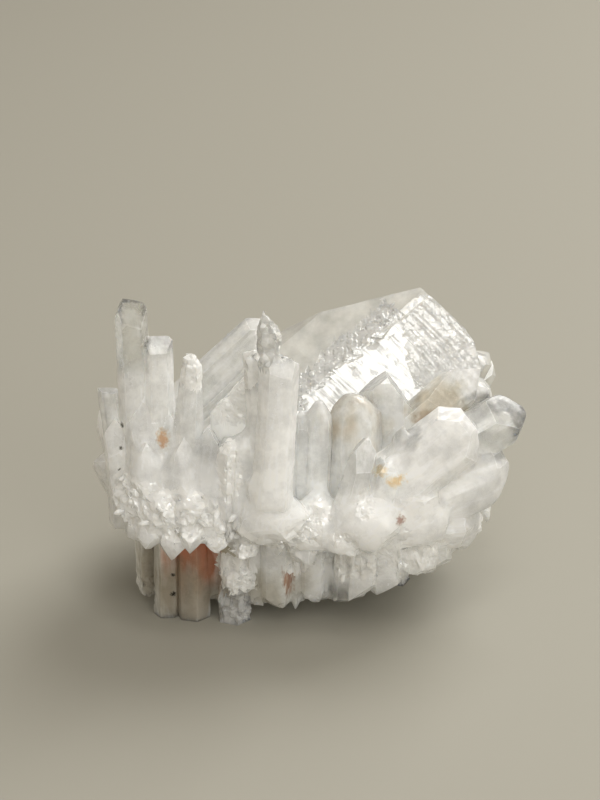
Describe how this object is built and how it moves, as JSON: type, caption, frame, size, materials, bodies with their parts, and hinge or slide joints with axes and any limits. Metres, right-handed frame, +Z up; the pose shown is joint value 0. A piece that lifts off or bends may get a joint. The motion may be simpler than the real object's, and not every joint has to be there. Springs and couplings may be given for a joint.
{
  "type": "quartz cluster",
  "caption": "Cluster of clear to milky rock crystal points grown together from one root, resting on its broken lower ends.",
  "frame": {"origin": "middle of the underside of the bounding box, at the height on which the cluster rests", "axes": "+Z up, +X to the right along the longest side, +Y to the back"},
  "size_m": [0.1194, 0.0862, 0.096],
  "materials": {
    "rock_crystal": "clear to milky natural crystal with bright broken faces"
  },
  "bodies": {
    "root": {"quartz_cluster": "rock_crystal"}
  },
  "joints": []
}
